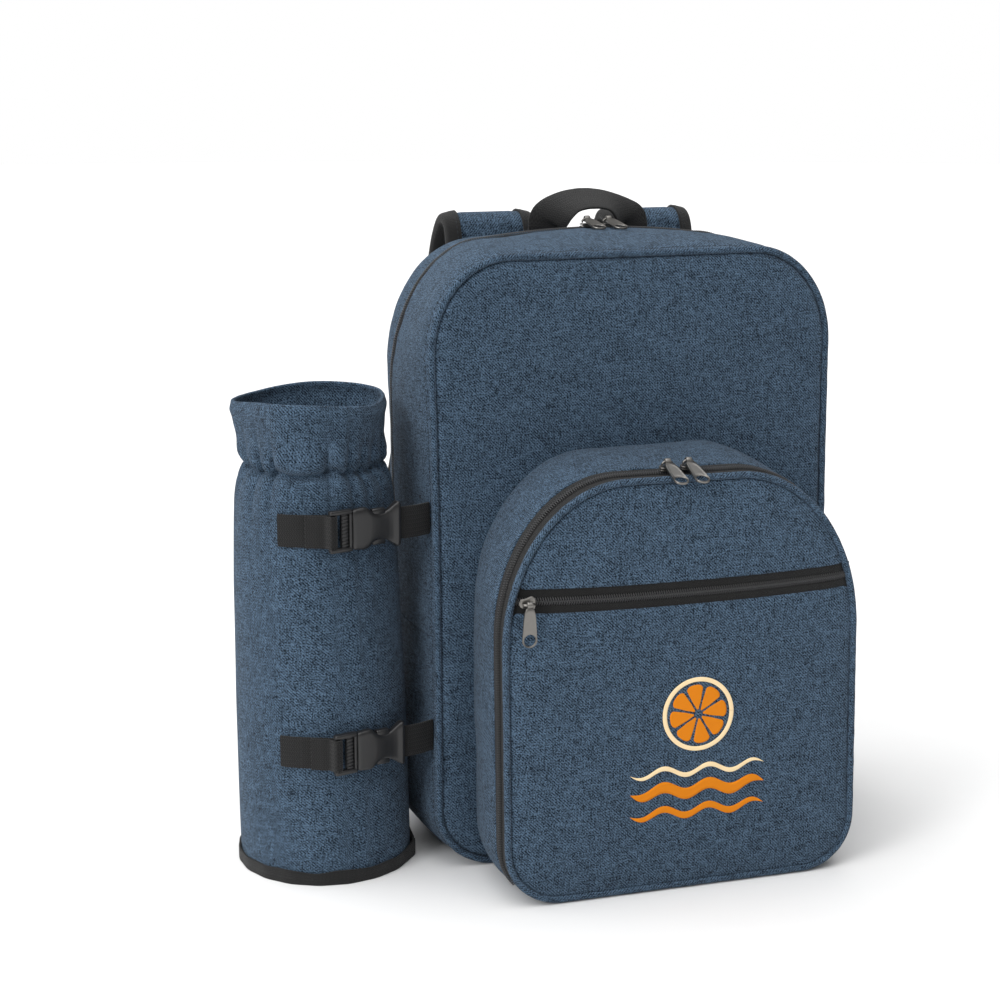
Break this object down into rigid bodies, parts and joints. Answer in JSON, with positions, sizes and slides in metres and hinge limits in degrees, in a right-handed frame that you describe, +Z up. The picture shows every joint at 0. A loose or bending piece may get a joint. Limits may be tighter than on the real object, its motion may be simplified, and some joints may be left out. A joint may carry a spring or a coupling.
{
  "type": "cooler backpack",
  "caption": "Padded picnic cooler backpack with a zipped front pocket, a buckled-on bottle holder, a net side pocket, a carry handle and padded shoulder straps.",
  "frame": {"origin": "the middle of the bag's base on the surface that it stands on", "axes": "+Z up, -Y out of the front pocket, +X to the right of someone looking at the front, towards the net pocket"},
  "size_m": [0.4246, 0.2521, 0.4173],
  "materials": {
    "melange": "two-tone blue-grey woven polyester, matte",
    "webbing": "black ribbed webbing, matte",
    "zip_tape": "black knitted tape, matte",
    "zip_coil": "black nylon coil, satin",
    "nickel": "plated zinc, satin",
    "plastic": "black moulded acetal, satin",
    "net": "dark grey knitted net, matte"
  },
  "bodies": {
    "bag": {"top_gusset_front": "melange", "top_gusset_rear": "melange", "base_gusset": "melange", "main_zip_tape": "zip_tape", "main_zip_coil": "zip_coil", "main_front_piping": "melange", "main_front_panel": "melange", "back_piping": "melange", "back_panel": "melange", "pocket_piping": "melange", "pocket_gusset": "melange", "pocket_zip_tape": "zip_tape", "pocket_foot_strip": "melange", "pocket_zip_coil": "zip_coil", "pocket_panel_upper": "melange", "pocket_panel_lower": "melange", "cross_zip_tape": "zip_tape", "cross_zip_coil": "zip_coil", "main_a_slider": "nickel", "main_b_slider": "nickel", "pocket_a_slider": "nickel", "pocket_b_slider": "nickel", "cross_slider": "nickel", "carry_handle": "webbing", "shoulder_strap_left": "melange", "shoulder_strap_right": "melange", "strap_binding_inner_left": "webbing", "strap_binding_inner_right": "webbing", "strap_binding_outer_left": "webbing", "strap_binding_outer_right": "webbing", "ladder_lock_left": "plastic", "ladder_lock_right": "plastic", "anchor_webbing_left": "webbing", "anchor_webbing_right": "webbing", "holder_sleeve": "melange", "holder_base": "melange", "holder_binding": "webbing", "buckle_plug_lower": "plastic", "buckle_plug_upper": "plastic", "buckle_shell_lower": "plastic", "buckle_shell_upper": "plastic", "holder_webbing_lower": "webbing", "holder_webbing_upper": "webbing", "bag_webbing_lower": "webbing", "bag_webbing_upper": "webbing", "side_net": "net", "net_hem": "webbing"},
    "main_a_pull": {"main_a_pull": "nickel"},
    "main_b_pull": {"main_b_pull": "nickel"},
    "pocket_a_pull": {"pocket_a_pull": "nickel"},
    "pocket_b_pull": {"pocket_b_pull": "nickel"},
    "cross_pull": {"cross_pull": "nickel"}
  },
  "joints": [
    {"name": "main_a_swing", "type": "hinge", "parent": "bag", "child": "main_a_pull", "pos_m": [-0.003, 0.02521, 0.39868], "axis": [-1, 0, 0], "range_deg": [0, 85]},
    {"name": "main_b_swing", "type": "hinge", "parent": "bag", "child": "main_b_pull", "pos_m": [0.012, 0.0252, 0.39837], "axis": [-1, 0, 0], "range_deg": [0, 85]},
    {"name": "pocket_a_swing", "type": "hinge", "parent": "bag", "child": "pocket_a_pull", "pos_m": [-0.007, -0.11698, 0.26515], "axis": [-1, 0, 0], "range_deg": [0, 195]},
    {"name": "pocket_b_swing", "type": "hinge", "parent": "bag", "child": "pocket_b_pull", "pos_m": [0.0065, -0.11742, 0.26515], "axis": [-1, 0, 0], "range_deg": [0, 195]},
    {"name": "cross_swing", "type": "hinge", "parent": "bag", "child": "cross_pull", "pos_m": [-0.101, -0.13542, 0.18976], "axis": [-1, 0, 0], "range_deg": [-8, 170]}
  ]
}
